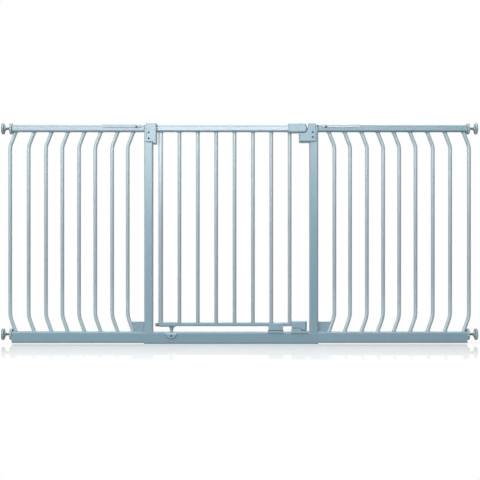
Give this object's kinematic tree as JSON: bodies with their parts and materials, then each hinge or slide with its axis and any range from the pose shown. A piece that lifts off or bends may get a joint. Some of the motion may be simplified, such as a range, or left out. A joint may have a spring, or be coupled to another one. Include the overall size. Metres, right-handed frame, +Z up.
{
  "type": "safety gate",
  "caption": "Walk-through safety gate with a lift-and-swing barred door, bent-bar side extensions and screw-out wall pads, pressure-fitted between two walls.",
  "frame": {"origin": "on the floor, midway between the outer faces of the wall pads, in the gate's middle plane", "axes": "+X along the gate from the hinge side to the latch side, +Y away from the room the picture is taken from, +Z up"},
  "size_m": [1.62, 0.04, 0.753],
  "materials": {
    "grey_paint": "satin powder coat on steel tube",
    "grey_plastic": "fine moulded texture",
    "adjuster_plastic": "fine moulded texture",
    "pad_rubber": "matt",
    "zinc_steel": "bright zinc plating",
    "dark_screws": "black oxide",
    "black_plastic": "matt"
  },
  "bodies": {
    "frame": {"base_rail": "grey_paint", "base_rail_plugs": "adjuster_plastic", "base_screws": "dark_screws", "base_spigots": "grey_paint", "cover_screws": "dark_screws", "foot_keeper": "grey_plastic", "hinge_arm": "zinc_steel", "hinge_cover": "grey_plastic", "hinge_post": "grey_paint", "latch_post": "grey_paint", "latch_receiver": "grey_plastic", "left_bars": "grey_paint", "left_base_rail": "grey_paint", "left_joint_plate": "grey_paint", "left_joint_strap": "grey_paint", "left_top_rail": "grey_paint", "pivot_block": "black_plastic", "pivot_plate": "grey_plastic", "right_bars": "grey_paint", "right_base_rail": "grey_paint", "right_joint_plate": "grey_paint", "right_joint_strap": "grey_paint", "right_top_rail": "grey_paint", "strap_screws": "dark_screws", "swing_stop": "grey_plastic", "top_rail_plugs": "adjuster_plastic", "top_spigots": "grey_paint"},
    "pivots": {"pivot_cone": "grey_plastic", "upper_hinge_pin": "zinc_steel"},
    "door": {"door_top_rail": "grey_paint", "door_bottom_rail": "grey_paint", "hinge_stile": "grey_paint", "door_bars": "grey_paint", "hinge_plug": "grey_plastic", "pivot_sleeve": "grey_paint", "bottom_rail_cap": "black_plastic", "foot_hook": "grey_plastic", "handle_front": "grey_plastic", "handle_back": "grey_plastic", "handle_screws": "dark_screws", "bolt_spring": "zinc_steel"},
    "latch": {"latch_bolt": "zinc_steel", "release_button": "grey_plastic"},
    "left_top_wheel": {"left_top_wheel": "adjuster_plastic"},
    "left_top_pad": {"left_top_spindle": "zinc_steel", "left_top_pad": "adjuster_plastic", "left_top_pad_facing": "pad_rubber"},
    "left_base_wheel": {"left_base_wheel": "adjuster_plastic"},
    "left_base_pad": {"left_base_spindle": "zinc_steel", "left_base_pad": "adjuster_plastic", "left_base_pad_facing": "pad_rubber"},
    "right_top_wheel": {"right_top_wheel": "adjuster_plastic"},
    "right_top_pad": {"right_top_spindle": "zinc_steel", "right_top_pad": "adjuster_plastic", "right_top_pad_facing": "pad_rubber"},
    "right_base_wheel": {"right_base_wheel": "adjuster_plastic"},
    "right_base_pad": {"right_base_spindle": "zinc_steel", "right_base_pad": "adjuster_plastic", "right_base_pad_facing": "pad_rubber"}
  },
  "joints": [
    {"name": "door_lift", "type": "slide", "parent": "frame", "child": "pivots", "axis": [0, 0, 1], "range_m": [0, 0.006]},
    {"name": "door_swing", "type": "hinge", "parent": "pivots", "child": "door", "pos_m": [-0.232, 0, 0.4], "axis": [0, 0, 1], "range_deg": [0, 90]},
    {"name": "latch_slide", "type": "slide", "parent": "door", "child": "latch", "axis": [-1, 0, 0], "range_m": [0, 0.008], "stiffness_N_per_m": 200, "deforming": ["bolt_spring"]},
    {"name": "left_top_wheel_spin", "type": "hinge", "parent": "frame", "child": "left_top_wheel", "pos_m": [-0.7793, 0, 0.733], "axis": [-1, 0, 0], "range_deg": [-2165, 4505]},
    {"name": "left_top_pad_slide", "type": "slide", "parent": "frame", "child": "left_top_pad", "axis": [-1, 0, 0], "range_m": [-0.012, 0.025]},
    {"name": "left_base_wheel_spin", "type": "hinge", "parent": "frame", "child": "left_base_wheel", "pos_m": [-0.7793, 0, 0.0315], "axis": [-1, 0, 0], "range_deg": [-2165, 4505]},
    {"name": "left_base_pad_slide", "type": "slide", "parent": "frame", "child": "left_base_pad", "axis": [-1, 0, 0], "range_m": [-0.012, 0.025]},
    {"name": "right_top_wheel_spin", "type": "hinge", "parent": "frame", "child": "right_top_wheel", "pos_m": [0.7793, 0, 0.733], "axis": [1, 0, 0], "range_deg": [-2165, 4505]},
    {"name": "right_top_pad_slide", "type": "slide", "parent": "frame", "child": "right_top_pad", "axis": [1, 0, 0], "range_m": [-0.012, 0.025]},
    {"name": "right_base_wheel_spin", "type": "hinge", "parent": "frame", "child": "right_base_wheel", "pos_m": [0.7793, 0, 0.0315], "axis": [1, 0, 0], "range_deg": [-2165, 4505]},
    {"name": "right_base_pad_slide", "type": "slide", "parent": "frame", "child": "right_base_pad", "axis": [1, 0, 0], "range_m": [-0.012, 0.025]}
  ],
  "couplings": [
    {"joint": "left_top_wheel_spin", "follows": "left_top_pad_slide", "rad_per_m": 3141.6},
    {"joint": "left_base_wheel_spin", "follows": "left_base_pad_slide", "rad_per_m": 3141.6},
    {"joint": "right_top_wheel_spin", "follows": "right_top_pad_slide", "rad_per_m": 3141.6},
    {"joint": "right_base_wheel_spin", "follows": "right_base_pad_slide", "rad_per_m": 3141.6}
  ]
}
